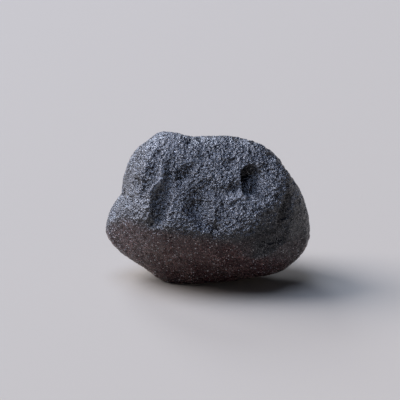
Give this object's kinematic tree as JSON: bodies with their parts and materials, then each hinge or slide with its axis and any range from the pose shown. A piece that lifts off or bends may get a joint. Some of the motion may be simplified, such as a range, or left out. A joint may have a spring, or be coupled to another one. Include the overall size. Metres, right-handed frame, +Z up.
{
  "type": "tektite",
  "caption": "Rounded pebble of black natural glass with U-shaped gouges, pits and a small flat spot that it rests on.",
  "frame": {"origin": "middle of the stone's box, on the surface it rests on", "axes": "+X along the longest side, to the right seen from the front; +Z up; the gouged front with the deep pit faces -Y"},
  "size_m": [0.0408, 0.0296, 0.0296],
  "materials": {
    "natural_glass": "satin"
  },
  "bodies": {
    "root": {"tektite": "natural_glass"}
  },
  "joints": []
}
